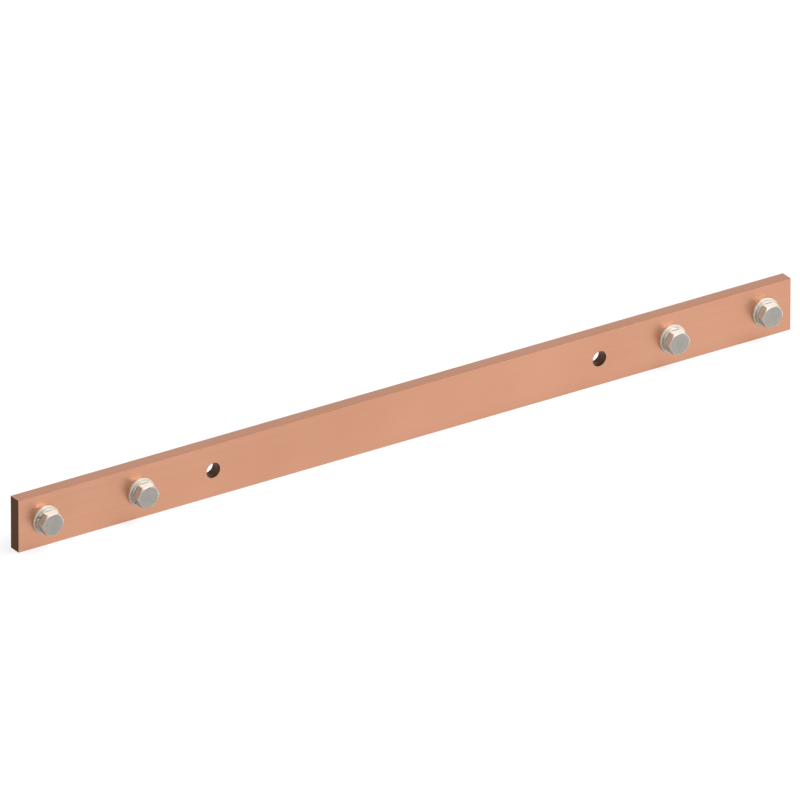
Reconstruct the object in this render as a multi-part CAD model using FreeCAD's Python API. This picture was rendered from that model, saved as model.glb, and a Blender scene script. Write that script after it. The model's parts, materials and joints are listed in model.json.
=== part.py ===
"""Copper busbar with four terminal bolts.

A flat drawn copper bar stands on its lower long edge. Two open holes take the fixings that hold the
bar to its supports. Each end carries two terminal bolts, and each bolt has a lock washer and a flat
washer in front of the bar, and a flat washer and a nut behind it.

Frame: X runs along the bar, the bolt heads face -Y, and Z is up. The origin lies midway between the
two open holes, on the back face of the bar. All sizes are in millimetres and degrees.
"""
import FreeCAD, Part
import math
import os

# Copper bar: drawn flat section with eased long edges, sawn and deburred ends
BAR_LENGTH = 640.0
BAR_HEIGHT = 40.0
BAR_THICKNESS = 10.0
BAR_EDGE_RADIUS = 0.5
BAR_END_CHAMFER = 0.3

# Holes: a chain of centres from each end, all on the middle line of the bar
BOLT_END_DISTANCE = 22.0
BOLT_PITCH = 78.0
OPEN_HOLE_PITCH = 60.0
HOLE_CLEARANCE = 1.0
HOLE_DEBURR = 0.4

# Thread shared by the bolts and nuts, drawn at its outer diameter
THREAD_DIAMETER = 10.0
THREAD_PITCH = 1.5
THREAD_DEPTH_PER_PITCH = 0.6134
THREAD_PROJECTION = 5.4

# Hexagons of the bolt heads and nuts: corners are turned off by a shallow cone
HEX_CHAMFER_ANGLE = 30.0
HEX_CHAMFER_INSET = 0.4

# Bolt head, measured from its bearing face
HEAD_ACROSS_FLATS = 16.0
HEAD_HEIGHT = 6.4
HEAD_FACE_INSET = 0.7
HEAD_FACE_HEIGHT = 0.4

# Nut
NUT_ACROSS_FLATS = 16.0
NUT_HEIGHT = 8.4
NUT_COUNTERSINK = 0.4
NUT_TURN_STEP = 17.0

# Flat washers, one in front of the bar and one behind it at each bolt
FLAT_WASHER_DIAMETER = 21.0
FLAT_WASHER_THICKNESS = 2.0
FLAT_WASHER_CLEARANCE = 0.5
FLAT_WASHER_EDGE = 0.25

# Split lock washer, flattened by the tightened bolt, with a slanting slit
LOCK_WASHER_SECTION = 3.95
LOCK_WASHER_THICKNESS = 2.2
LOCK_WASHER_CLEARANCE = 0.2
LOCK_WASHER_EDGE = 0.25
LOCK_SLIT_GAP = 0.8
LOCK_SLIT_SLOPE = 25.0
LOCK_SLIT_FIRST_ANGLE = 150.0
LOCK_SLIT_ANGLE_STEP = 70.0

# Sizes that follow from the ones above
HOLE_RADIUS = (THREAD_DIAMETER + HOLE_CLEARANCE) / 2
OUTER_BOLT_X = BAR_LENGTH / 2 - BOLT_END_DISTANCE
INNER_BOLT_X = OUTER_BOLT_X - BOLT_PITCH
OPEN_HOLE_X = INNER_BOLT_X - OPEN_HOLE_PITCH
BOLT_STATIONS = (-OUTER_BOLT_X, -INNER_BOLT_X, INNER_BOLT_X, OUTER_BOLT_X)
OPEN_HOLES = (-OPEN_HOLE_X, OPEN_HOLE_X)

# Seats along a bolt, counted outwards from the bar's front face
LOCK_WASHER_SEAT = FLAT_WASHER_THICKNESS
HEAD_SEAT = LOCK_WASHER_SEAT + LOCK_WASHER_THICKNESS
BACK_WASHER_SEAT = -BAR_THICKNESS - FLAT_WASHER_THICKNESS
NUT_SEAT = BACK_WASHER_SEAT - NUT_HEIGHT
BOLT_LENGTH = HEAD_SEAT - NUT_SEAT + THREAD_PROJECTION

ALONG_BAR = FreeCAD.Vector(1, 0, 0)
FASTENER_AXIS = FreeCAD.Vector(0, 0, 1)
CUT_OVERSHOOT = 1.0


def revolved(outline):
    """Solid of revolution about Z of a closed outline of (radius, height) points."""
    points = [FreeCAD.Vector(radius, 0, height) for radius, height in outline]
    face = Part.Face(Part.makePolygon(points + points[:1]))
    return Part.Solid(face.revolve(FreeCAD.Vector(), FASTENER_AXIS, 360))


def hexagonal_prism(across_flats, height):
    """Six-sided prism standing on Z = 0, with two corners on the X axis."""
    corner_radius = across_flats / 2 / math.cos(math.radians(30))
    angles = [math.radians(60 * corner) for corner in range(6)]
    corners = [FreeCAD.Vector(corner_radius * math.cos(a), corner_radius * math.sin(a), 0) for a in angles]
    face = Part.Face(Part.makePolygon(corners + corners[:1]))
    return face.extrude(FreeCAD.Vector(0, 0, height))


def corner_cone(across_flats):
    """Radius of the turned circle on a hexagon's face, the radius past its corners, and the drop between."""
    circle = across_flats / 2 - HEX_CHAMFER_INSET
    past_corners = across_flats / math.sqrt(3) + CUT_OVERSHOOT
    drop = (past_corners - circle) * math.tan(math.radians(HEX_CHAMFER_ANGLE))
    return circle, past_corners, drop


def ring_outline(inner, outer, thickness, inner_edge, outer_edge):
    """Section of a washer whose four edges are broken by small bevels."""
    return [
        (inner + inner_edge, 0),
        (outer - outer_edge, 0),
        (outer, outer_edge),
        (outer, thickness - outer_edge),
        (outer - outer_edge, thickness),
        (inner + inner_edge, thickness),
        (inner, thickness - inner_edge),
        (inner, inner_edge),
    ]


def hole_cutter():
    """Drill for one hole, with a deburring cone at both faces; Z = 0 is the front face."""
    mouth = HOLE_RADIUS + HOLE_DEBURR
    back = -BAR_THICKNESS
    return revolved([
        (0, CUT_OVERSHOOT),
        (mouth, CUT_OVERSHOOT),
        (mouth, 0),
        (HOLE_RADIUS, -HOLE_DEBURR),
        (HOLE_RADIUS, back + HOLE_DEBURR),
        (mouth, back),
        (mouth, back - CUT_OVERSHOOT),
        (0, back - CUT_OVERSHOOT),
    ])


def busbar():
    """Drawn bar with rounded long edges, bevelled ends and six drilled holes."""
    corner = FreeCAD.Vector(-BAR_LENGTH / 2, -BAR_THICKNESS, -BAR_HEIGHT / 2)
    blank = Part.makeBox(BAR_LENGTH, BAR_THICKNESS, BAR_HEIGHT, corner)
    long_edges = [edge for edge in blank.Edges if edge.BoundBox.XLength > BAR_LENGTH / 2]
    drawn = blank.makeFillet(BAR_EDGE_RADIUS, long_edges)
    end_edges = [edge for edge in drawn.Edges if edge.BoundBox.XLength < BAR_END_CHAMFER / 2]
    sawn = drawn.makeChamfer(BAR_END_CHAMFER, end_edges)
    return sawn.cut([seated(hole_cutter(), x, 0) for x in BOLT_STATIONS + OPEN_HOLES])


def hex_bolt():
    """Hexagon head bolt threaded to the head; Z = 0 is the bearing face of its head."""
    circle, past_corners, drop = corner_cone(HEAD_ACROSS_FLATS)
    turned_head = revolved([
        (0, HEAD_FACE_HEIGHT),
        (past_corners, HEAD_FACE_HEIGHT),
        (past_corners, HEAD_HEIGHT - drop),
        (circle, HEAD_HEIGHT),
        (0, HEAD_HEIGHT),
    ])
    head = hexagonal_prism(HEAD_ACROSS_FLATS, HEAD_HEIGHT).common(turned_head)
    radius = THREAD_DIAMETER / 2
    point_bevel = THREAD_DEPTH_PER_PITCH * THREAD_PITCH
    face_radius = HEAD_ACROSS_FLATS / 2 - HEAD_FACE_INSET
    shank = revolved([
        (0, -BOLT_LENGTH),
        (radius - point_bevel, -BOLT_LENGTH),
        (radius, point_bevel - BOLT_LENGTH),
        (radius, 0),
        (face_radius, 0),
        (face_radius, HEAD_FACE_HEIGHT),
        (0, HEAD_FACE_HEIGHT),
    ])
    return head.fuse(shank).removeSplitter()


def hex_nut(turn):
    """Hexagon nut bevelled on both faces and countersunk at both ends of its thread, turned about its axis."""
    circle, past_corners, drop = corner_cone(NUT_ACROSS_FLATS)
    radius = THREAD_DIAMETER / 2
    mouth = radius + NUT_COUNTERSINK
    turned = revolved([
        (mouth, 0),
        (circle, 0),
        (past_corners, drop),
        (past_corners, NUT_HEIGHT - drop),
        (circle, NUT_HEIGHT),
        (mouth, NUT_HEIGHT),
        (radius, NUT_HEIGHT - NUT_COUNTERSINK),
        (radius, NUT_COUNTERSINK),
    ])
    nut = hexagonal_prism(NUT_ACROSS_FLATS, NUT_HEIGHT).common(turned)
    return nut.rotated(FreeCAD.Vector(), FASTENER_AXIS, turn)


def flat_washer():
    """Plain stamped washer with lightly broken outer edges."""
    inner = (THREAD_DIAMETER + FLAT_WASHER_CLEARANCE) / 2
    outer = FLAT_WASHER_DIAMETER / 2
    section = ring_outline(inner, outer, FLAT_WASHER_THICKNESS, FLAT_WASHER_EDGE, FLAT_WASHER_EDGE)
    return revolved(section)


def lock_washer(slit_angle):
    """Ring of square-edged spring wire, cut through by a slit that slants across its thickness."""
    inner = (THREAD_DIAMETER + LOCK_WASHER_CLEARANCE) / 2
    outer = inner + LOCK_WASHER_SECTION
    ring = revolved(ring_outline(inner, outer, LOCK_WASHER_THICKNESS, LOCK_WASHER_EDGE, LOCK_WASHER_EDGE))
    depth = 2 * (LOCK_WASHER_THICKNESS + LOCK_SLIT_GAP)
    slit = Part.makeBox(outer + CUT_OVERSHOOT, LOCK_SLIT_GAP, depth, FreeCAD.Vector(0, -LOCK_SLIT_GAP / 2, -depth / 2))
    slit.rotate(FreeCAD.Vector(), ALONG_BAR, LOCK_SLIT_SLOPE)
    slit.translate(FreeCAD.Vector(0, 0, LOCK_WASHER_THICKNESS / 2))
    return ring.cut(slit).rotated(FreeCAD.Vector(), FASTENER_AXIS, slit_angle)


def seated(shape, station, seat):
    """Turns a piece made along Z to face the front, on the middle line at a station, with its Z = 0 at a seat."""
    place = FreeCAD.Vector(station, -BAR_THICKNESS - seat, 0)
    shape.Placement = FreeCAD.Placement(place, FreeCAD.Rotation(ALONG_BAR, 90)).multiply(shape.Placement)
    return shape


def terminal(index, station):
    """The five pieces of one terminal, from the head of its bolt to its nut."""
    number = index + 1
    slit_angle = LOCK_SLIT_FIRST_ANGLE + LOCK_SLIT_ANGLE_STEP * index
    return {
        f"hex_bolt_{number}": seated(hex_bolt(), station, HEAD_SEAT),
        f"lock_washer_{number}": seated(lock_washer(slit_angle), station, LOCK_WASHER_SEAT),
        f"front_washer_{number}": seated(flat_washer(), station, 0),
        f"back_washer_{number}": seated(flat_washer(), station, BACK_WASHER_SEAT),
        f"hex_nut_{number}": seated(hex_nut(NUT_TURN_STEP * index), station, NUT_SEAT),
    }


def main():
    """Builds every piece and writes one file for each."""
    pieces = {"busbar": busbar()}
    for index, station in enumerate(BOLT_STATIONS):
        pieces.update(terminal(index, station))
    os.makedirs("parts", exist_ok=True)
    for name, shape in pieces.items():
        solid, = shape.Solids
        print(f"{name}: {solid.Volume / 1000:.3f} cm3, valid {solid.isValid()}")
        solid.exportStep(f"parts/{name}.step")


main()
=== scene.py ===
"""Looks of the copper busbar: threaded fasteners, metal finishes, studio and camera.

The bar keeps its own solid and gets a drawn-copper finish. Bolts, nuts and washers are rebuilt round
their solids as fine surfaces with eased edges and real threads. Every surface is a grid worked out in
numpy: a profile of (radius, height) rows carried round an axis of angle columns.

Lengths are metres. A fastener's height is counted outwards from the bar's front face, towards -Y.
"""

import json
import logging
import math
from dataclasses import dataclass, field, fields
from enum import Enum

import bpy
import numpy as np
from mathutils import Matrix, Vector


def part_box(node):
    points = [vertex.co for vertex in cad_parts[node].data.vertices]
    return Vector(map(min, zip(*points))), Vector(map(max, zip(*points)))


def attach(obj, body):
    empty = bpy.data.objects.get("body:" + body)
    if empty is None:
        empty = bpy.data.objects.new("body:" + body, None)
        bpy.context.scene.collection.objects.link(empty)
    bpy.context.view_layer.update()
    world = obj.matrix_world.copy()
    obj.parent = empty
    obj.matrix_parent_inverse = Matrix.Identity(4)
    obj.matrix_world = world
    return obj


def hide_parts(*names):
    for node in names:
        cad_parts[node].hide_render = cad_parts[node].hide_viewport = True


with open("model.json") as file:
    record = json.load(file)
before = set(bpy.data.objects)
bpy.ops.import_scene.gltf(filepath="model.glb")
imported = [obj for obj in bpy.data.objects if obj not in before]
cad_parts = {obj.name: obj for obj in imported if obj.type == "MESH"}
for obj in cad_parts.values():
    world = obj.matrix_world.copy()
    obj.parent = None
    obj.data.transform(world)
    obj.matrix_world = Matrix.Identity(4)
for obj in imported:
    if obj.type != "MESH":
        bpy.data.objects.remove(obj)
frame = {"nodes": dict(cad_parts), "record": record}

LOG = logging.getLogger("busbar")
MM = 0.001
BODY = "root"
STATIONS = (1, 2, 3, 4)
HEXAGON_SIDES = 6

# A point this near to a face counts as lying on it.
TOUCH = 0.01 * MM

# Points on each eased corner, and how many reaches from it a further point holds the flat.
EASE_STEPS = 5
EASE_HOLD = 1.3

Array = np.ndarray
Size = float | Array
Span = tuple[float, float]
Triple = tuple[float, float, float]
Colour = Triple
Socket = bpy.types.NodeSocket
Value = float | Triple | Socket

WHITE: Colour = (1.0, 1.0, 1.0)


class Slot(Enum):
    """Material slots of the fasteners."""

    PLATED = "plated_steel"
    SPRING = "spring_steel"


class Mark(Enum):
    """Attributes that a fastener's surface carries for its finish, with its painted shade and painted
    highlight.
    """

    RADIUS = "turned_radius"
    # Wear on eased edges and corners, which also paints a highlight there.
    WEAR_AND_HIGHLIGHT = "edge_wear_and_highlight"
    GROOVE = "thread_groove"
    # Where the colour is darkened by painted shade: 1 on a bolt head's end face, a half on its chamfer.
    PAINTED_SHADE = "painted_shade_face"


class Ends(Enum):
    """How the first and last rows of a surface end."""

    JOINED = "joined to each other"
    CAPPED = "each closed by a cap"


def srgb(red: int, green: int, blue: int) -> Colour:
    """Linear colour of a display colour.

    A share s of full brightness becomes s / slope near black, and ((s + offset) / (1 + offset)) ^ power
    above the knee.

    Args:
        red, green, blue: display values from 0 to 255.

    Returns:
        The three linear values.
    """
    knee, slope, offset, power = 0.04045, 12.92, 0.055, 2.4
    share = np.array([red, green, blue]) / 255
    curve = ((share + offset) / (1 + offset)) ** power
    linear = np.where(share <= knee, share / slope, curve)
    return tuple(float(value) for value in linear)


# Surfaces


@dataclass
class Rows:
    """Rows of points round an axis: their radius and height, over columns of angle.

    The marks run from 0 to 1 for the finish: worn edges that also carry a painted highlight, the thread
    groove, and faces darkened by painted shade.
    """

    radius: Array
    height: Size
    wear_and_highlight: Size = 0.0
    groove: Size = 0.0
    darker: Size = 0.0

    @classmethod
    def joined(cls, parts: list["Rows"]) -> "Rows":
        """Puts the rows of some parts one after another.

        Args:
            parts: the parts, whose single numbers stand for all their points.

        Returns:
            All the rows, with a number for every point.
        """
        names = [item.name for item in fields(cls)]
        grids = [
            [np.broadcast_to(getattr(part, name), part.radius.shape) for part in parts] for name in names]
        return cls(*map(np.concatenate, grids))


def eased(corners: Array, reach: float) -> tuple[Array, Array]:
    """Open outline whose inner corners are rounded off.

    Between A and B, which lie a reach before and after the corner C, the outline follows the parabola
    P(s) = (1-s)^2 A + 2 s (1-s) C + s^2 B. A point a little further out holds each flat flat.

    Args:
        corners: corner points, of shape (corner, column, 2).
        reach: how far the rounding reaches from each corner.

    Returns:
        The rows of the outline, of shape (row, column, 2), and the wear with painted highlight of each row,
        which is 1 at the middle of a corner.
    """
    middle = corners[1:-1]
    back = corners[:-2] - middle
    ahead = corners[2:] - middle
    back = back / np.linalg.norm(back, axis=-1, keepdims=True)
    ahead = ahead / np.linalg.norm(ahead, axis=-1, keepdims=True)
    share = np.linspace(0, 1, EASE_STEPS)
    s = share[None, :, None, None]
    start = (middle + reach * back)[:, None]
    end = (middle + reach * ahead)[:, None]
    curve = (1 - s) ** 2 * start + 2 * s * (1 - s) * middle[:, None] + s**2 * end
    before = (middle + EASE_HOLD * reach * back)[:, None]
    after = (middle + EASE_HOLD * reach * ahead)[:, None]
    rows = np.concatenate([before, curve, after], axis=1)
    rows = np.concatenate([corners[:1], rows.reshape(-1, *corners.shape[1:]), corners[-1:]])
    bump = np.concatenate([[0.0], 4 * share * (1 - share), [0.0]])
    wear_and_highlight = np.concatenate([[0.0], np.tile(bump, len(middle)), [0.0]])
    return rows, wear_and_highlight


def washer_section(bore: float, outer: float, thickness: float, reach: float) -> tuple[Array, Array]:
    """Section of a washer: a rectangle of radius and height with eased corners.

    Args:
        bore: inner radius.
        outer: outer radius.
        thickness: height of the washer.
        reach: how far the easing reaches from each corner.

    Returns:
        The section's points, of shape (point, 2), and the wear with painted highlight of each.
    """
    half = (bore + outer) / 2
    path = [(half, 0), (outer, 0), (outer, thickness), (bore, thickness), (bore, 0), (half, 0)]
    rows, wear_and_highlight = eased(np.array(path)[:, None], reach)
    return rows[:-1, 0], wear_and_highlight[:-1]


def grid_quads(shape: tuple[int, int], closed: bool) -> Array:
    """Corner numbers of the quads between neighbouring rows; columns always run right round.

    Args:
        shape: rows and columns of the grid.
        closed: whether the last row joins the first.

    Returns:
        An array of shape (quad, 4).
    """
    rows, columns = shape
    row = np.arange(rows if closed else rows - 1)[:, None]
    column = np.arange(columns)[None, :]
    here = row * columns
    below = (row + 1) % rows * columns
    beside = (column + 1) % columns
    corners = np.broadcast_arrays(here + column, here + beside, below + beside, below + column)
    return np.stack(corners, axis=-1).reshape(-1, 4)


def end_fans(shape: tuple[int, int]) -> Array:
    """Corner numbers of the triangles that close the first and last rows on a point after the grid each.

    Args:
        shape: rows and columns of the grid.

    Returns:
        An array of shape (triangle, 4), where each triangle has its first corner twice.
    """
    rows, columns = shape
    ring = np.arange(columns)
    rings = np.stack([ring[::-1], (rows - 1) * columns + ring])
    centres = np.broadcast_to(rows * columns + np.arange(2)[:, None], rings.shape)
    fans = np.stack([centres, centres, rings, np.roll(rings, -1, axis=1)], axis=-1)
    return fans.reshape(-1, 4)


def with_centres(grid: Array) -> Array:
    """A grid's values in one list, then the means of its first and last rows."""
    return np.concatenate([grid.reshape(-1, *grid.shape[2:]), grid[[0, -1]].mean(axis=1)])


def facing_out(points: Array, quads: Array) -> Array:
    """Turns all the quads of a closed surface over if they enclose a negative volume.

    The volume is the sum of a . (b x c) + a . (c x d) over the quads (a, b, c, d), times a sixth.

    Args:
        points: corner points, of shape (point, 3).
        quads: corner numbers, of shape (quad, 4).

    Returns:
        The quads, facing outwards.
    """
    a, b, c, d = (points[quads[:, corner]] for corner in range(4))
    volume = np.einsum("ij,ij->", a, np.cross(b, c)) + np.einsum("ij,ij->", a, np.cross(c, d))
    return quads if volume > 0 else quads[:, [1, 0, 3, 2]]


def mesh_piece(name: str, points: Array, quads: Array, marks: dict[Mark, Array]) -> bpy.types.Object:
    """Smooth mesh object in the row frame, at the origin.

    Args:
        name: the piece's name.
        points: corner points in metres, of shape (point, 3).
        quads: corner numbers; a first corner that comes twice makes a triangle.
        marks: one value per point for each attribute.

    Returns:
        The linked object.
    """
    turned = facing_out(points, quads)
    pinched = turned[:, 0] == turned[:, 1]
    faces = turned[~pinched].tolist() + turned[pinched, 1:].tolist()
    mesh = bpy.data.meshes.new(name)
    mesh.from_pydata(points.tolist(), [], faces)
    mesh.polygons.foreach_set("use_smooth", np.ones(len(faces), dtype=bool))
    for mark, values in marks.items():
        attribute = mesh.attributes.new(mark.value, "FLOAT", "POINT")
        attribute.data.foreach_set("value", values.astype(np.float32).ravel())
    mesh.update()
    piece = bpy.data.objects.new(name, mesh)
    bpy.context.scene.collection.objects.link(piece)
    return piece


@dataclass
class Axis:
    """Where a fastener stands: its station along the bar, the bar's front face and its middle line."""

    station: float
    front: float
    middle: float

    def place(self, radius: Array, angle: Array, height: Array) -> Array:
        """Points (x, y, z) = (station + r cos a, front - h, middle + r sin a).

        Args:
            radius: distances from the axis.
            angle: angles about it.
            height: heights along it.

        Returns:
            The points, with x, y and z along a last axis.
        """
        x = self.station + radius * np.cos(angle)
        z = self.middle + radius * np.sin(angle)
        return np.stack([x, self.front - height, z], axis=-1)

    def turned(self, name: str, angle: Array, parts: list[Rows], ends: Ends) -> bpy.types.Object:
        """Makes a piece of rows of points round this axis.

        Args:
            name: the piece's name.
            angle: angles of the columns, or of all the points.
            parts: the rows, in order.
            ends: how the first and last rows end.

        Returns:
            The object.
        """
        rows = Rows.joined(parts)
        shape = rows.radius.shape
        points = self.place(rows.radius, angle, rows.height)
        quads = grid_quads(shape, closed=ends is Ends.JOINED)
        marks = {
            Mark.RADIUS: rows.radius / MM,
            Mark.WEAR_AND_HIGHLIGHT: rows.wear_and_highlight,
            Mark.GROOVE: rows.groove,
            Mark.PAINTED_SHADE: rows.darker,
        }
        if ends is Ends.CAPPED:
            points = with_centres(points)
            quads = np.concatenate([quads, end_fans(shape)])
            marks = {mark: with_centres(values) for mark, values in marks.items()}
        return mesh_piece(name, points.reshape(-1, 3), quads, marks)


# Fasteners


@dataclass(frozen=True)
class Thread:
    """Coarse metric thread, right-handed."""

    diameter: float = 10.0 * MM
    pitch: float = 1.5 * MM
    depth_per_pitch: float = 0.6134
    crest_share: float = 1 / 16
    root_share: float = 3 / 8
    rows_per_turn: int = 12

    @property
    def depth(self) -> float:
        """Radial depth of the groove."""
        return self.depth_per_pitch * self.pitch

    def groove(self, angle: Array, height: Array) -> Array:
        """How deep the groove is, from 0 on the crest to 1 in the root.

        With the phase p = h/pitch - a/2pi, the distance of p from the nearest crest runs from 0 to 1/2.
        The groove is flat on the crest and in the root. Between them, where f runs from 0 to 1, it
        follows the smooth step f^2 (3 - 2f), a flank with softened corners.

        Args:
            angle: angles about the axis.
            height: heights along it.

        Returns:
            The groove, of the two arrays' common shape.
        """
        phase = height / self.pitch - angle / (2 * math.pi)
        away = np.abs(phase - np.round(phase))
        flank = np.clip((away - self.crest_share) / (self.root_share - self.crest_share), 0, 1)
        return flank * flank * (3 - 2 * flank)


@dataclass(frozen=True)
class Hexagon:
    """Plan of a bolt head or nut, with softened corners, and the cone that turns its corners off."""

    across_flats: float
    turn: float = 0.0
    corner_reach: float = 0.45 * MM
    flat_points: int = 9
    chamfer_inset: float = 0.4 * MM
    chamfer_angle: float = math.radians(30)

    @property
    def circle(self) -> float:
        """Radius of the turned circle on the end face."""
        return self.across_flats / 2 - self.chamfer_inset

    def drop(self, radius: Array) -> Array:
        """How far the cone lies below the end face at a radius: (r - circle) tan(angle)."""
        return (radius - self.circle) * math.tan(self.chamfer_angle)

    def plan(self) -> tuple[Array, Array, Array]:
        """Polar form of the outline: six parabolas at the corners joined by straight flats.

        Returns:
            The angle and radius of each column, and its wear with painted highlight, which is 1 at a
            corner.
        """
        around = self.turn + np.arange(HEXAGON_SIDES + 2) * 2 * math.pi / HEXAGON_SIDES
        corners = self.across_flats / math.sqrt(3) * np.stack([np.cos(around), np.sin(around)], axis=-1)
        rounded, wear_and_highlight = eased(corners[:, None, :], self.corner_reach)
        rounded = rounded[1:-1, 0].reshape(HEXAGON_SIDES, -1, 2)
        share = np.linspace(0, 1, self.flat_points + 2)[None, 1:-1, None]
        following = np.roll(rounded, -1, axis=0)
        flats = rounded[:, -1:] * (1 - share) + following[:, :1] * share
        outline = np.concatenate([rounded, flats], axis=1).reshape(-1, 2)
        corner_wear_and_highlight = wear_and_highlight[1:-1].reshape(HEXAGON_SIDES, -1)
        flat_wear_and_highlight = np.zeros((HEXAGON_SIDES, self.flat_points))
        column_wear_and_highlight = np.concatenate([corner_wear_and_highlight, flat_wear_and_highlight], axis=1).ravel()
        return np.arctan2(outline[:, 1], outline[:, 0]), np.hypot(*outline.T), column_wear_and_highlight

    def shell(self, corners: list[tuple[Size, Size]], seat: float, reach: float) -> Rows:
        """Carries a profile with eased corners round the outline.

        Args:
            corners: radius and height of the profile's corners, each one number or one for each column.
            seat: height at which the profile's own heights start.
            reach: how far the easing reaches from each corner.

        Returns:
            The rows, worn along the profile's corners and the outline's.
        """
        _, outer, corner_wear_and_highlight = self.plan()
        sizes = [[np.broadcast_to(size, outer.shape) for size in corner] for corner in corners]
        rows, row_wear_and_highlight = eased(np.array(sizes).swapaxes(1, 2), reach)
        radius, height = rows[..., 0], rows[..., 1]
        on_side = (radius > outer - TOUCH) * corner_wear_and_highlight
        return Rows(radius, seat + height, np.maximum(row_wear_and_highlight[:, None], on_side))


@dataclass
class HexBolt:
    """Hexagon head bolt, threaded to the head, with a round bearing face under the head."""

    node: str
    axis: Axis
    seat: float
    head_height: float
    length: float
    hexagon: Hexagon
    thread: Thread = field(default_factory=Thread)
    face_inset: float = 0.7 * MM
    face_height: float = 0.4 * MM
    edge_reach: float = 0.14 * MM
    first_row: float = 0.02 * MM
    runout_turns: float = 1.5
    # Share of painted shade on the head's chamfer.
    bevel_shade: float = 0.5

    def build(self) -> bpy.types.Object:
        """Makes the bolt: rows from the middle of the head to the bearing face, then down the shank.

        Returns:
            The object.
        """
        angle, outer, _ = self.hexagon.plan()
        circle = self.hexagon.circle
        drop = self.hexagon.drop(outer)
        face = self.hexagon.across_flats / 2 - self.face_inset
        top = self.head_height
        corners = [
            (circle / 2, top),
            (circle, top),
            (outer, top - drop),
            (outer, self.face_height),
            (face, self.face_height),
            (face, 0.0),
            (self.thread.diameter / 2, 0.0),
        ]
        head = self.hexagon.shell(corners, self.seat, self.edge_reach)
        # Painted shade: the head's end face is darkened fully and its chamfer by a share, so the hexagon's
        # lit sides stand out; on the end face this is partly its forged finish too.
        below = self.seat + top - head.height
        bevel = np.where(below < drop + TOUCH, self.bevel_shade, 0.0)
        head.darker = np.where(below < TOUCH, 1.0, bevel)
        return self.axis.turned(f"bolt_{self.node}", angle, [head, *self.shank(angle)], Ends.CAPPED)

    def shank(self, angle: Array) -> list[Rows]:
        """Rows of the threaded shank, downwards from the bearing face, and of its flat end.

        r = R - depth g(a, h) f(h), where g is the thread's groove and f fades in over the run-out below
        the head. Near the point r is held inside the cone r = R - depth + (h + length).

        Args:
            angle: the columns' angles.

        Returns:
            The thread's rows, and one row halfway in on the end.
        """
        turns = self.length / self.thread.pitch
        count = int(turns * self.thread.rows_per_turn)
        down = -np.linspace(self.first_row, self.length, count)[:, None]
        fade = np.clip(-down / (self.runout_turns * self.thread.pitch), 0, 1)
        groove = self.thread.groove(angle, self.seat + down) * fade
        radius = self.thread.diameter / 2 - self.thread.depth * groove
        tip = self.thread.diameter / 2 - self.thread.depth
        radius = np.minimum(radius, tip + self.length + down)
        end = np.full((1, len(angle)), tip / 2)
        return [Rows(radius, self.seat + down, groove=groove), Rows(end, self.seat - self.length)]


@dataclass
class HexNut:
    """Hexagon nut, bevelled on both faces, with a countersunk thread that meets the bolt's."""

    node: str
    axis: Axis
    seat: float
    height: float
    hexagon: Hexagon
    thread: Thread = field(default_factory=Thread)
    countersink: float = 0.4 * MM
    thread_clearance: float = 0.06 * MM
    edge_reach: float = 0.14 * MM

    def build(self) -> bpy.types.Object:
        """Makes the nut: rows outside from one mouth of the thread to the other, then back through it.

        Returns:
            The object.
        """
        angle, outer, _ = self.hexagon.plan()
        circle = self.hexagon.circle
        drop = self.hexagon.drop(outer)
        mouth = self.thread.diameter / 2 + self.countersink
        corners = [
            (mouth, 0.0),
            (circle, 0.0),
            (outer, drop),
            (outer, self.height - drop),
            (circle, self.height),
            (mouth, self.height),
        ]
        shell = self.hexagon.shell(corners, self.seat, self.edge_reach)
        return self.axis.turned(f"nut_{self.node}", angle, [shell, self.bore(angle, mouth)], Ends.JOINED)

    def bore(self, angle: Array, mouth: float) -> Rows:
        """Rows of the threaded bore, from its outer mouth back to its inner one.

        r = R - depth g(a, h) + clearance, opened at each end by the countersink r = mouth - d, where d
        is the distance from that end's face.

        Args:
            angle: the columns' angles.
            mouth: radius of the countersink at the faces.

        Returns:
            The rows.
        """
        turns = self.height / self.thread.pitch
        count = int(turns * self.thread.rows_per_turn)
        up = np.linspace(self.height, 0, count + 2)[1:-1, None]
        groove = self.thread.groove(angle, self.seat + up)
        radius = self.thread.diameter / 2 - self.thread.depth * groove + self.thread_clearance
        sunk = np.maximum(mouth - up, mouth - (self.height - up))
        return Rows(np.maximum(radius, sunk), self.seat + up, groove=1 - groove)


@dataclass
class FlatWasher:
    """Plain stamped washer."""

    node: str
    axis: Axis
    seat: float
    outer: float
    thickness: float
    bore: float = 5.25 * MM
    edge_reach: float = 0.3 * MM
    columns: int = 96

    def build(self) -> bpy.types.Object:
        """Makes the washer: its section carried right round the axis.

        Returns:
            The object.
        """
        section, wear_and_highlight = washer_section(self.bore, self.outer, self.thickness, self.edge_reach)
        radius = np.repeat(section[:, :1], self.columns, axis=1)
        ring = Rows(radius, self.seat + section[:, 1:], wear_and_highlight[:, None])
        angle = np.linspace(0, 2 * math.pi, self.columns, endpoint=False)
        return self.axis.turned(f"washer_{self.node}", angle, [ring], Ends.JOINED)


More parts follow.
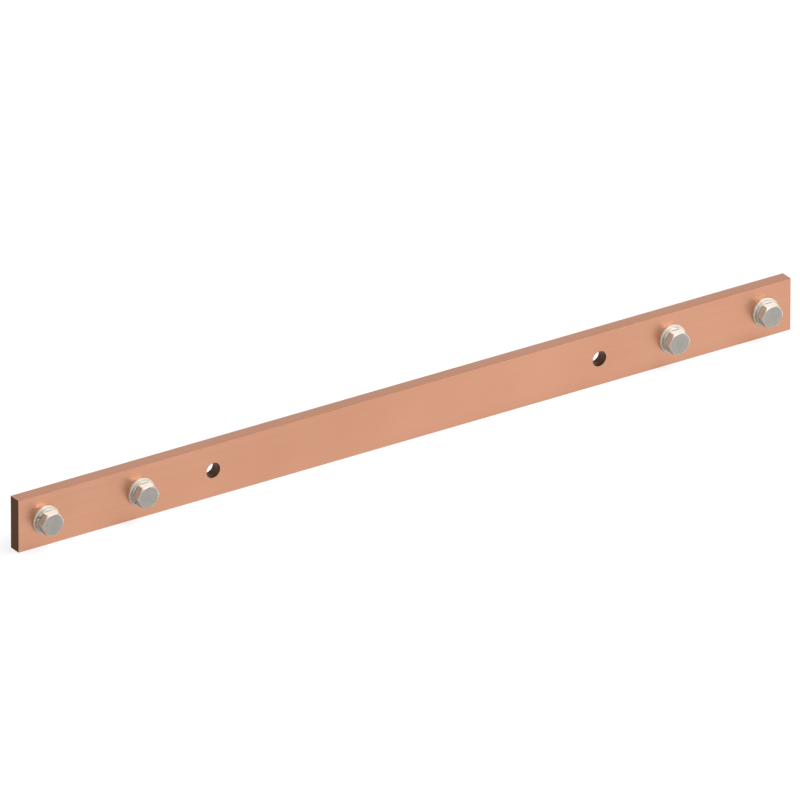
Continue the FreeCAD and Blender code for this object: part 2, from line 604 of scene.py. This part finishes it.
@dataclass
class LockWasher:
    """Split lock washer of square-edged spring wire, flattened, with a slanting slit."""

    node: str
    axis: Axis
    seat: float
    outer: float
    thickness: float
    slit_angle: float
    bore: float = 5.1 * MM
    slit_gap: float = 0.8 * MM
    slit_slope: float = math.radians(25)
    edge_reach: float = 0.3 * MM
    columns: int = 120
    cap_shares: tuple[float, ...] = (0.6, 0.2)

    def build(self) -> bpy.types.Object:
        """Makes the washer: the wire's section carried from one face of the slit to the other.

        A point at radius r and height z above the middle of the wire starts on the slit's face, at the
        angle asin((gap / (2 cos slope) - z tan slope) / r), and ends on the other face, at the same
        angle with the gap negative. On each face the section shrinks towards its middle, to close it.

        Returns:
            The object.
        """
        section, row_wear_and_highlight = washer_section(self.bore, self.outer, self.thickness, self.edge_reach)
        middle = np.array([(self.bore + self.outer) / 2, self.thickness / 2])
        caps = len(self.cap_shares)
        shrink = np.concatenate([self.cap_shares[::-1], np.ones(self.columns), self.cap_shares])
        along = np.concatenate([np.zeros(caps), np.linspace(0, 1, self.columns), np.ones(caps)])
        points = middle + shrink[:, None, None] * (section - middle)
        radius, height = points[..., 0], points[..., 1]
        slant = -(height - middle[1]) * math.tan(self.slit_slope)
        gap = self.slit_gap / 2 / math.cos(self.slit_slope)
        start = np.arcsin((slant + gap) / radius)
        end = 2 * math.pi + np.arcsin((slant - gap) / radius)
        angle = self.slit_angle + start + along[:, None] * (end - start)
        wire = Rows(radius, self.seat + height, row_wear_and_highlight * (shrink[:, None] == 1))
        return self.axis.turned(f"lock_{self.node}", angle, [wire], Ends.CAPPED)


# Finishes


@dataclass
class NodeBench:
    """Places and wires the nodes of one tree."""

    tree: bpy.types.NodeTree

    @classmethod
    def on(cls, owner: bpy.types.Material | bpy.types.World) -> "NodeBench":
        """Bench for the nodes of a material or of the world."""
        owner.use_nodes = True
        return cls(owner.node_tree)

    def add(self, kind: str, **settings: object) -> bpy.types.Node:
        """Adds a node.

        Args:
            kind: the node's type.
            **settings: properties to set on it.

        Returns:
            The node.
        """
        node = self.tree.nodes.new(kind)
        for name, value in settings.items():
            setattr(node, name, value)
        return node

    def feed(self, socket: Socket, value: Value) -> None:
        """Links a socket to another, or sets its own value.

        Args:
            socket: the input.
            value: an output to link, a number, or a colour.
        """
        if isinstance(value, bpy.types.NodeSocket):
            self.tree.links.new(value, socket)
        elif isinstance(value, tuple) and socket.type == "RGBA":
            socket.default_value = (*value, 1.0)
        else:
            socket.default_value = value

    def math(self, operation: str, first: Value, second: Value = 0.0, clamp: bool = False) -> Socket:
        """Works out one sum.

        Args:
            operation: the Math node's operation.
            first: its first number.
            second: its second number, if it takes one.
            clamp: whether the result is held between 0 and 1.

        Returns:
            The result.
        """
        node = self.add("ShaderNodeMath", operation=operation, use_clamp=clamp)
        self.feed(node.inputs[0], first)
        self.feed(node.inputs[1], second)
        return node.outputs[0]

    def weighted(self, *terms: tuple[Socket, float], start: float = 0.0) -> Socket:
        """Adds up values, each times its share.

        Args:
            *terms: the values with their shares.
            start: a number to add them to.

        Returns:
            The sum.
        """
        total: Value = start
        for value, share in terms:
            node = self.add("ShaderNodeMath", operation="MULTIPLY_ADD")
            for socket, number in zip(node.inputs, (value, share, total)):
                self.feed(socket, number)
            total = node.outputs[0]
        return total

    def between(
        self, value: Value, low: float, high: float, before: float = 0.0, after: float = 1.0
    ) -> Socket:
        """Smooth step of a value.

        Args:
            value: the value.
            low: where the step starts.
            high: where it ends.
            before: result up to its start.
            after: result from its end on.

        Returns:
            The result.
        """
        node = self.add("ShaderNodeMapRange", interpolation_type="SMOOTHSTEP")
        self.feed(node.inputs["Value"], value)
        limits = {"From Min": low, "From Max": high, "To Min": before, "To Max": after}
        for name, limit in limits.items():
            self.feed(node.inputs[name], limit)
        return node.outputs["Result"]

    def mix(self, share: Value, first: Value, second: Value, blend: str = "MIX") -> Socket:
        """Blends two colours.

        Args:
            share: how much of the second colour shows.
            first: the colour underneath.
            second: the colour on top.
            blend: the Mix node's way of blending.

        Returns:
            The colour.
        """
        node = self.add("ShaderNodeMix", data_type="RGBA", blend_type=blend)
        self.feed(node.inputs["Factor"], share)
        self.feed(node.inputs["A"], first)
        self.feed(node.inputs["B"], second)
        return node.outputs["Result"]

    def noise(self, place: Value, scale: Value, detail: float, stretch: Triple = (1.0, 1.0, 1.0)) -> Socket:
        """Noise on stretched coordinates.

        Args:
            place: the coordinates.
            scale: how fine the noise is.
            detail: how many finer layers it has.
            stretch: factor on each coordinate.

        Returns:
            The noise, from 0 to 1.
        """
        mapping = self.add("ShaderNodeMapping")
        self.feed(mapping.inputs["Vector"], place)
        mapping.inputs["Scale"].default_value = stretch
        node = self.add("ShaderNodeTexNoise")
        self.feed(node.inputs["Vector"], mapping.outputs["Vector"])
        self.feed(node.inputs["Scale"], scale)
        self.feed(node.inputs["Detail"], detail)
        return node.outputs["Fac"]

    def attribute(self, mark: Mark) -> Socket:
        """Value of one of the piece's own attributes."""
        return self.add("ShaderNodeAttribute", attribute_name=mark.value).outputs["Fac"]

    def relief(self, shader: bpy.types.Node, height: Value, strength: float, depth: float) -> None:
        """Gives a shader small bumps.

        Args:
            shader: the shader.
            height: the bumps' height, from 0 to 1.
            strength: how much they count.
            depth: their real depth at a height of 1.
        """
        bump = self.add("ShaderNodeBump")
        self.feed(bump.inputs["Strength"], strength)
        self.feed(bump.inputs["Distance"], depth)
        self.feed(bump.inputs["Height"], height)
        self.feed(shader.inputs["Normal"], bump.outputs["Normal"])


@dataclass(frozen=True)
class HandlingMarks:
    """Clouding, fine grain and thin scratches from handling, as a node group that the metals share."""

    name: str = "handling_marks"
    cloud_detail: float = 4.0
    grain_detail: float = 2.0
    warp_scale: float = 35.0
    warp_detail: float = 2.0
    warp_reach: float = 0.02
    scratch_scale: float = 260.0
    scratch_detail: float = 1.0
    scratch_stretch: Triple = (0.12, 1.0, 1.6)
    scratch_level: float = 0.5
    scratch_width: float = 0.008

    def group(self) -> bpy.types.NodeTree:
        """Makes the node group, once.

        Scratches run where a stretched and warped noise passes through its middle level.

        Returns:
            The group, with inputs Vector, Cloud Scale and Grain Scale, and outputs Cloud, Grain and
            Scratch, each from 0 to 1.
        """
        if self.name in bpy.data.node_groups:
            return bpy.data.node_groups[self.name]
        group = bpy.data.node_groups.new(self.name, "ShaderNodeTree")
        group.interface.new_socket("Vector", in_out="INPUT", socket_type="NodeSocketVector")
        for label in ("Cloud Scale", "Grain Scale"):
            group.interface.new_socket(label, in_out="INPUT", socket_type="NodeSocketFloat")
        for label in ("Cloud", "Grain", "Scratch"):
            group.interface.new_socket(label, in_out="OUTPUT", socket_type="NodeSocketFloat")
        bench = NodeBench(group)
        entry = bench.add("NodeGroupInput").outputs
        leave = bench.add("NodeGroupOutput").inputs
        place = entry["Vector"]
        bench.feed(leave["Cloud"], bench.noise(place, entry["Cloud Scale"], self.cloud_detail))
        bench.feed(leave["Grain"], bench.noise(place, entry["Grain Scale"], self.grain_detail))
        warp = bench.noise(place, self.warp_scale, self.warp_detail)
        shifted = bench.add("ShaderNodeVectorMath", operation="ADD")
        bench.feed(shifted.inputs[0], place)
        bench.feed(shifted.inputs[1], bench.math("MULTIPLY", warp, self.warp_reach))
        lines = bench.noise(
            shifted.outputs[0], self.scratch_scale, self.scratch_detail, self.scratch_stretch)
        away = bench.math("ABSOLUTE", bench.math("SUBTRACT", lines, self.scratch_level))
        bench.feed(leave["Scratch"], bench.between(away, 0.0, self.scratch_width, 1.0, 0.0))
        return group

    def placed(
        self, bench: NodeBench, place: Socket, cloud_scale: float, grain_scale: float
    ) -> dict[str, Socket]:
        """Puts the group into a material.

        Args:
            bench: the material's bench.
            place: the coordinates.
            cloud_scale: how fine the clouding is.
            grain_scale: how fine the grain is.

        Returns:
            The group's outputs by name.
        """
        node = bench.add("ShaderNodeGroup", node_tree=self.group())
        bench.feed(node.inputs["Vector"], place)
        bench.feed(node.inputs["Cloud Scale"], cloud_scale)
        bench.feed(node.inputs["Grain Scale"], grain_scale)
        return {output.name: output for output in node.outputs}


@dataclass(frozen=True)
class BarForm:
    """Where the bar's edges, ends and holes lie; the holes are alike on both sides of its middle."""

    half_length: float
    half_height: float
    half_thickness: float
    middle_y: float
    hole_radius: float
    hole_x: tuple[float, ...]
    edge_radius: float = 0.5 * MM
    end_bevel: float = 0.3 * MM
    deburr: float = 0.4 * MM


@dataclass(frozen=True)
class BarMasks:
    """Masks of the bar's edges, sawn ends and bores, each 1 there and 0 on the faces.

    The edge span is counted in edge radii from the faces, and the bore's margin in deburred widths.
    """

    bench: NodeBench
    axes: bpy.types.Node
    form: BarForm
    edge_span: Span = (1.1, 0.4)
    end_margin: float = 0.05 * MM
    bore_margin: float = 1 / 3

    def edges(self) -> Socket:
        """Finds the rounded long edges, where both the height and the thickness are near their ends.

        Returns:
            The mask.
        """
        bench, form = self.bench, self.form
        start, end = (share * form.edge_radius for share in self.edge_span)
        height = bench.math("ABSOLUTE", self.axes.outputs["Z"])
        tall = bench.between(height, form.half_height - start, form.half_height - end)
        depth = bench.math("ABSOLUTE", bench.math("SUBTRACT", self.axes.outputs["Y"], form.middle_y))
        deep = bench.between(depth, form.half_thickness - start, form.half_thickness - end)
        return bench.math("MULTIPLY", tall, deep)

    def ends(self) -> Socket:
        """Finds the sawn ends, from the bevel outwards.

        Returns:
            The mask.
        """
        along = self.bench.math("ABSOLUTE", self.axes.outputs["X"])
        length = self.form.half_length
        return self.bench.between(along, length - self.form.end_bevel, length - self.end_margin)

    def bores(self) -> Socket:
        """Finds the walls of the holes, from the distance to the nearest hole's axis.

        Returns:
            The mask.
        """
        bench, form = self.bench, self.form
        across = bench.math("ABSOLUTE", self.axes.outputs["X"])
        rise = bench.math("POWER", self.axes.outputs["Z"], 2.0)
        nearest: Value = form.half_length
        for hole in form.hole_x:
            along = bench.math("POWER", bench.math("SUBTRACT", across, hole), 2.0)
            distance = bench.math("SQRT", bench.math("ADD", along, rise))
            nearest = bench.math("MINIMUM", nearest, distance)
        rim = form.hole_radius + self.bore_margin * form.deburr
        return bench.between(nearest, form.hole_radius, rim, 1.0, 0.0)


@dataclass(frozen=True)
class CopperFinish:
    """Drawn copper: long fine draw lines, faint clouding and rough edges, with painted shade as a dark
    brown on the sawn ends and in the drilled bores.
    """

    name: str = "drawn_copper"
    bright: Colour = srgb(214, 159, 132)
    darker: Colour = srgb(204, 148, 120)
    edge: Colour = srgb(214, 155, 127)
    # Painted shade on the sawn ends: a dark brown that stands for the shade an end face lies in.
    painted_end_shade: Colour = srgb(94, 66, 48)
    # Painted shade in the drilled bores: a dark brown that stands for the shade inside the holes.
    bore: Colour = srgb(74, 48, 33)
    metallic: float = 1.0
    roughness: float = 0.34
    roughness_spread: float = 0.2
    edge_roughness: float = 0.9
    end_roughness: float = 0.75
    line_scale: float = 1.0
    line_detail: float = 4.0
    line_stretch: Triple = (1.2, 2000.0, 2000.0)
    line_share: float = 0.6
    line_relief: float = 1.0
    cloud_scale: float = 14.0
    cloud_share: float = 0.4
    tone_span: Span = (0.3, 0.7)
    grain_scale: float = 2200.0
    grain_relief: float = 0.4
    scratch_relief: float = 0.15
    bump_strength: float = 0.35
    bump_depth: float = 0.014 * MM

    def material(self, form: BarForm) -> bpy.types.Material:
        """Makes the bar's material.

        Args:
            form: the bar's edges, ends and holes.

        Returns:
            The material.
        """
        material = bpy.data.materials.new(self.name)
        bench = NodeBench.on(material)
        shader = bench.tree.nodes["Principled BSDF"]
        place = bench.add("ShaderNodeTexCoord").outputs["Object"]
        axes = bench.add("ShaderNodeSeparateXYZ")
        bench.feed(axes.inputs[0], place)
        marks = HandlingMarks().placed(bench, place, self.cloud_scale, self.grain_scale)
        lines = bench.noise(place, self.line_scale, self.line_detail, self.line_stretch)
        tone = bench.weighted((lines, self.line_share), (marks["Cloud"], self.cloud_share))
        masks = BarMasks(bench, axes, form)
        edges, bores, ends = masks.edges(), masks.bores(), masks.ends()
        colour = bench.mix(bench.between(tone, *self.tone_span), self.darker, self.bright)
        # The sawn ends and the bores take dark colours as painted shade; the edges take their own tone.
        for mask, tint in ((edges, self.edge), (bores, self.bore), (ends, self.painted_end_shade)):
            colour = bench.mix(mask, colour, tint)
        bench.feed(shader.inputs["Base Color"], colour)
        bench.feed(shader.inputs["Metallic"], self.metallic)
        rough = bench.weighted(
            (tone, self.roughness_spread),
            (edges, self.edge_roughness - self.roughness),
            (ends, self.end_roughness - self.roughness),
            start=self.roughness - self.roughness_spread / 2,
        )
        bench.feed(shader.inputs["Roughness"], rough)
        height = bench.weighted(
            (lines, self.line_relief),
            (marks["Grain"], self.grain_relief),
            (marks["Scratch"], -self.scratch_relief),
        )
        bench.relief(shader, height, self.bump_strength, self.bump_depth)
        return material


@dataclass(frozen=True)
class SteelFinish:
    """Zinc plated steel: clouding and turned lines; a bolt head's end face and chamfer darkened, partly the
    forged face's own tone and partly painted shade; worn edges lightened as wear and as a painted
    highlight; darker thread roots.
    """

    name: str
    bright: Colour
    darker: Colour
    # Colour of worn edges, pale enough to be a painted highlight as well.
    worn_and_highlight: Colour
    # Darker colour in the thread roots, blended in by the groove's depth.
    root_tone: Colour
    roughness: float
    # Factor that darkens the marked faces: partly the forged end face's own tone, partly painted shade.
    forged_and_shade: Colour = (0.59, 0.58, 0.58)
    metallic: float = 0.45
    roughness_spread: float = 0.2
    wear_and_highlight_share: float = 0.35
    root_tone_share: float = 0.6
    line_scale: float = 6.0
    line_detail: float = 3.0
    line_share: float = 0.4
    line_relief: float = 0.5
    cloud_scale: float = 420.0
    cloud_share: float = 0.6
    tone_span: Span = (0.3, 0.7)
    grain_scale: float = 3200.0
    grain_relief: float = 0.5
    scratch_relief: float = 0.3
    bump_strength: float = 0.25
    bump_depth: float = 0.02 * MM

    def material(self) -> bpy.types.Material:
        """Makes the material of the fasteners in this finish.

        Returns:
            The material.
        """
        material = bpy.data.materials.new(self.name)
        bench = NodeBench.on(material)
        shader = bench.tree.nodes["Principled BSDF"]
        place = bench.add("ShaderNodeTexCoord").outputs["Object"]
        marks = HandlingMarks().placed(bench, place, self.cloud_scale, self.grain_scale)
        turned = bench.add("ShaderNodeTexNoise", noise_dimensions="1D")
        bench.feed(turned.inputs["W"], bench.attribute(Mark.RADIUS))
        bench.feed(turned.inputs["Scale"], self.line_scale)
        bench.feed(turned.inputs["Detail"], self.line_detail)
        lines = turned.outputs["Fac"]
        tone = bench.weighted((marks["Cloud"], self.cloud_share), (lines, self.line_share))
        colour = bench.mix(bench.between(tone, *self.tone_span), self.darker, self.bright)
        # Painted shade, with the forged end face's own tone: the marked faces are multiplied by this
        # colour.
        forged_and_shade = bench.mix(1.0, colour, self.forged_and_shade, "MULTIPLY")
        colour = bench.mix(bench.attribute(Mark.PAINTED_SHADE), colour, forged_and_shade)
        # Eased corners lightened, as real wear and as a painted highlight.
        wear_and_highlight = bench.math("MULTIPLY", bench.attribute(Mark.WEAR_AND_HIGHLIGHT), self.wear_and_highlight_share)
        colour = bench.mix(wear_and_highlight, colour, self.worn_and_highlight)
        # Thread roots darker, by the groove's depth.
        root_tone = bench.math("MULTIPLY", bench.attribute(Mark.GROOVE), self.root_tone_share)
        colour = bench.mix(root_tone, colour, self.root_tone)
        bench.feed(shader.inputs["Base Color"], colour)
        bench.feed(shader.inputs["Metallic"], self.metallic)
        rough_start = self.roughness - self.roughness_spread / 2
        rough = bench.weighted((tone, self.roughness_spread), start=rough_start)
        bench.feed(shader.inputs["Roughness"], rough)
        height = bench.weighted(
            (lines, self.line_relief),
            (marks["Grain"], self.grain_relief),
            (marks["Scratch"], -self.scratch_relief),
        )
        bench.relief(shader, height, self.bump_strength, self.bump_depth)
        return material


ZINC = SteelFinish(
    name="zinc_plated_steel",
    bright=srgb(222, 219, 210),
    darker=srgb(205, 202, 193),
    worn_and_highlight=srgb(234, 231, 223),
    root_tone=srgb(120, 116, 108),
    roughness=0.34,
)
SPRING = SteelFinish(
    name="zinc_plated_spring_steel",
    bright=srgb(214, 211, 202),
    darker=srgb(194, 191, 182),
    worn_and_highlight=srgb(228, 225, 217),
    root_tone=srgb(110, 106, 99),
    roughness=0.36,
)


# Assembly


def box_of(node: str) -> tuple[Vector, Vector, Vector]:
    """Lowest corner, middle and size of a solid."""
    low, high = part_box(node)
    return low, (low + high) / 2, high - low


@dataclass
class Bar:
    """The copper bar, which keeps its own solid."""

    node: str = "busbar"
    finish: CopperFinish = CopperFinish()

    def axis_at(self, station: float) -> Axis:
        """Axis of a fastener on the bar's middle line."""
        low, middle, _ = box_of(self.node)
        return Axis(station, low.y, middle.z)

    def form(self) -> BarForm:
        """Reads the bar's edges and holes from its box, its open holes and the bolts in the others.

        Returns:
            The form.
        """
        _, middle, size = box_of(self.node)
        open_holes = [mount for mount in frame["record"]["mounts"] if mount["kind"] == "bore"]
        stations = [mount["pos_m"][0] for mount in open_holes]
        stations += [box_of(f"hex_bolt_{number}")[1].x for number in STATIONS]
        return BarForm(
            half_length=size.x / 2,
            half_height=size.z / 2,
            half_thickness=size.y / 2,
            middle_y=middle.y,
            hole_radius=open_holes[0]["dims"]["r_mm"] * MM,
            hole_x=tuple(sorted({round(abs(x), 4) for x in stations})),
        )

    def dress(self) -> None:
        """Gives the solid its copper finish."""
        mesh = frame["nodes"][self.node].data
        mesh.materials.clear()
        mesh.materials.append(self.finish.material(self.form()))
        LOG.info("%s: dressed in drawn copper", self.node)


@dataclass
class Terminal:
    """One bolt station: bolt, lock washer, washers in front and behind, and nut."""

    number: int
    bar: Bar
    thread: Thread = field(default_factory=Thread)
    nut_turn_step: float = math.radians(17)
    slit_first: float = math.radians(150)
    slit_step: float = math.radians(70)

    def seat_of(self, node: str) -> float:
        """Height of a solid's back over the bar's front face."""
        low, _, size = box_of(node)
        return self.bar.axis_at(0.0).front - (low.y + size.y)

    def build(self) -> dict[str, tuple[bpy.types.Object, Slot]]:
        """Builds the station's pieces round their solids.

        Returns:
            Each solid's name with the piece that stands for it and its material slot.
        """
        names = ("hex_bolt", "hex_nut", "lock_washer", "front_washer", "back_washer")
        nodes = [f"{name}_{self.number}" for name in names]
        bolt, nut, lock, front, back = nodes
        sizes = {node: box_of(node)[2] for node in nodes}
        seats = {node: self.seat_of(node) for node in nodes}
        axis = self.bar.axis_at(box_of(bolt)[1].x)
        head_seat = seats[lock] + sizes[lock].y
        length = head_seat - seats[bolt]
        head_height = sizes[bolt].y - length
        across_flats = sizes[bolt].z
        step = self.number - 1
        head_form = Hexagon(across_flats)
        nut_form = Hexagon(across_flats, turn=self.nut_turn_step * step)
        slit = self.slit_first + self.slit_step * step
        makers = {
            bolt: HexBolt(bolt, axis, head_seat, head_height, length, head_form, self.thread),
            nut: HexNut(nut, axis, seats[nut], sizes[nut].y, nut_form, self.thread),
            lock: LockWasher(lock, axis, seats[lock], sizes[lock].x / 2, sizes[lock].y, slit),
            front: FlatWasher(front, axis, seats[front], sizes[front].x / 2, sizes[front].y),
            back: FlatWasher(back, axis, seats[back], sizes[back].x / 2, sizes[back].y),
        }
        slots = {node: Slot.SPRING if node == lock else Slot.PLATED for node in nodes}
        return {node: (maker.build(), slots[node]) for node, maker in makers.items()}

    def dress(self, finishes: dict[Slot, bpy.types.Material]) -> None:
        """Builds the pieces, gives them their finish and sets them in place of their solids.

        Args:
            finishes: the material of each slot.
        """
        for node, (piece, slot) in self.build().items():
            piece.data.materials.append(finishes[slot])
            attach(piece, BODY)
            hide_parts(node)
            LOG.info("%s: %d faces in %s", piece.name, len(piece.data.polygons), slot.value)


# Studio


@dataclass(frozen=True)
class Softbox:
    """A square lamp that looks at the middle of the bar; metal mirrors it only where that is set."""

    name: str
    place: Triple
    side: float
    watts: float
    mirrored: bool = False

    def build(self) -> None:
        """Makes the lamp."""
        data = bpy.data.lights.new(self.name, "AREA")
        data.shape = "SQUARE"
        data.size = self.side
        data.energy = self.watts
        lamp = bpy.data.objects.new(self.name, data)
        lamp.location = self.place
        lamp.visible_glossy = self.mirrored
        lamp.rotation_euler = (-Vector(self.place)).to_track_quat("-Z", "Y").to_euler()
        bpy.context.scene.collection.objects.link(lamp)


@dataclass(frozen=True)
class Studio:
    """White floor, pale surroundings and softboxes."""

    floor_level: float
    floor_half: float = 30.0
    floor_shade: float = 0.16
    floor_glow: float = 0.82
    fill: float = 0.08
    backdrop: float = 0.82
    wall: float = 1.2
    wall_span: Span = (-0.6, -0.1)
    softboxes: tuple[Softbox, ...] = (
        Softbox("overhead", (2.1, -0.7, 3.4), 3.7, 345.0),
        Softbox("rear", (-1.0, 3.6, 1.6), 2.6, 60.0),
        Softbox("key", (1.4, -4.4, 2.5), 2.4, 100.0, mirrored=True),
    )

    def build(self) -> None:
        """Makes the floor, the surroundings and the lamps."""
        self.floor()
        self.surroundings()
        for softbox in self.softboxes:
            softbox.build()
        LOG.info("studio: %d softboxes", len(self.softboxes))

    @staticmethod
    def seen(bench: NodeBench) -> Socket:
        """Tells what is looked at from what only lights the part.

        Args:
            bench: the bench of the floor or the world.

        Returns:
            1 for what the camera sees directly, in a reflection or through glass, else 0.
        """
        path = bench.add("ShaderNodeLightPath").outputs
        seen = bench.math("ADD", path["Is Camera Ray"], path["Is Glossy Ray"], clamp=True)
        return bench.math("ADD", seen, path["Is Transmission Ray"], clamp=True)

    def surroundings(self) -> None:
        """Makes a pale backdrop with a white wall at the left; it lights the shadows only a little."""
        world = bpy.data.worlds.new("surroundings")
        bench = NodeBench.on(world)
        background = bench.tree.nodes["Background"]
        bench.feed(background.inputs["Color"], WHITE)
        direction = bench.add("ShaderNodeSeparateXYZ")
        bench.feed(direction.inputs[0], bench.add("ShaderNodeTexCoord").outputs["Generated"])
        pale = bench.between(direction.outputs["X"], *self.wall_span, self.wall, self.backdrop)
        shown = bench.math("MULTIPLY", self.seen(bench), bench.math("SUBTRACT", pale, self.fill))
        bench.feed(background.inputs["Strength"], bench.math("ADD", shown, self.fill))
        bpy.context.scene.world = world

    def floor(self) -> None:
        """Makes the floor: matt, to keep the shadow, with a glow of its own where it is looked at."""
        half, level = self.floor_half, self.floor_level
        points = [(-half, -half, level), (half, -half, level), (half, half, level), (-half, half, level)]
        mesh = bpy.data.meshes.new("floor")
        mesh.from_pydata(points, [], [range(len(points))])
        floor = bpy.data.objects.new("floor", mesh)
        bpy.context.scene.collection.objects.link(floor)
        material = bpy.data.materials.new("white_floor")
        bench = NodeBench.on(material)
        nodes = bench.tree.nodes
        nodes.remove(nodes["Principled BSDF"])
        matt = bench.add("ShaderNodeBsdfDiffuse")
        bench.feed(matt.inputs["Color"], (self.floor_shade, self.floor_shade, self.floor_shade))
        glow = bench.add("ShaderNodeEmission")
        bench.feed(glow.inputs["Strength"], bench.math("MULTIPLY", self.seen(bench), self.floor_glow))
        both = bench.add("ShaderNodeAddShader")
        bench.feed(both.inputs[0], matt.outputs["BSDF"])
        bench.feed(both.inputs[1], glow.outputs["Emission"])
        bench.feed(nodes["Material Output"].inputs["Surface"], both.outputs["Shader"])
        mesh.materials.append(material)


@dataclass(frozen=True)
class PhotoView:
    """Camera at the photograph's angle; its long lens keeps parallel edges parallel, as there."""

    azimuth: float = math.radians(-33.3)
    elevation: float = math.radians(26.07)
    image_side: float = 800.0
    pixels_per_metre: float = 1444.0
    bar_middle_px: Span = (407.4, 414.6)
    lens: float = 1400.0
    sensor: float = 36.0
    clip_distances: float = 4.0

    def build(self, bar_middle: Vector) -> None:
        """Makes the camera.

        Args:
            bar_middle: middle of the bar's front face, which lies at bar_middle_px in the picture.
        """
        sin_a, cos_a = math.sin(self.azimuth), math.cos(self.azimuth)
        sin_e, cos_e = math.sin(self.elevation), math.cos(self.elevation)
        back = Vector((sin_a * cos_e, -cos_a * cos_e, sin_e))
        right = Vector((cos_a, sin_a, 0.0))
        up = back.cross(right)
        off_x = (self.image_side / 2 - self.bar_middle_px[0]) / self.pixels_per_metre
        off_y = (self.bar_middle_px[1] - self.image_side / 2) / self.pixels_per_metre
        aim = bar_middle + right * off_x + up * off_y
        distance = self.image_side / self.pixels_per_metre * self.lens / self.sensor
        data = bpy.data.cameras.new("camera")
        data.lens = self.lens
        data.sensor_width = self.sensor
        data.clip_end = self.clip_distances * distance
        camera = bpy.data.objects.new("camera", data)
        camera.location = aim + back * distance
        camera.rotation_euler = (-back).to_track_quat("-Z", "Y").to_euler()
        bpy.context.scene.collection.objects.link(camera)
        bpy.context.scene.camera = camera


def main() -> None:
    """Dresses the bar and its terminals, and sets the studio and camera."""
    logging.basicConfig(level=logging.INFO, format="%(name)s: %(message)s")
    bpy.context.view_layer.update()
    bpy.context.scene.view_settings.view_transform = "Standard"
    bar = Bar()
    bar.dress()
    finishes = {Slot.PLATED: ZINC.material(), Slot.SPRING: SPRING.material()}
    for number in STATIONS:
        Terminal(number, bar).dress(finishes)
    low, middle, _ = box_of(bar.node)
    Studio(low.z).build()
    PhotoView().build(Vector((middle.x, low.y, middle.z)))


if __name__ == "__main__":
    main()
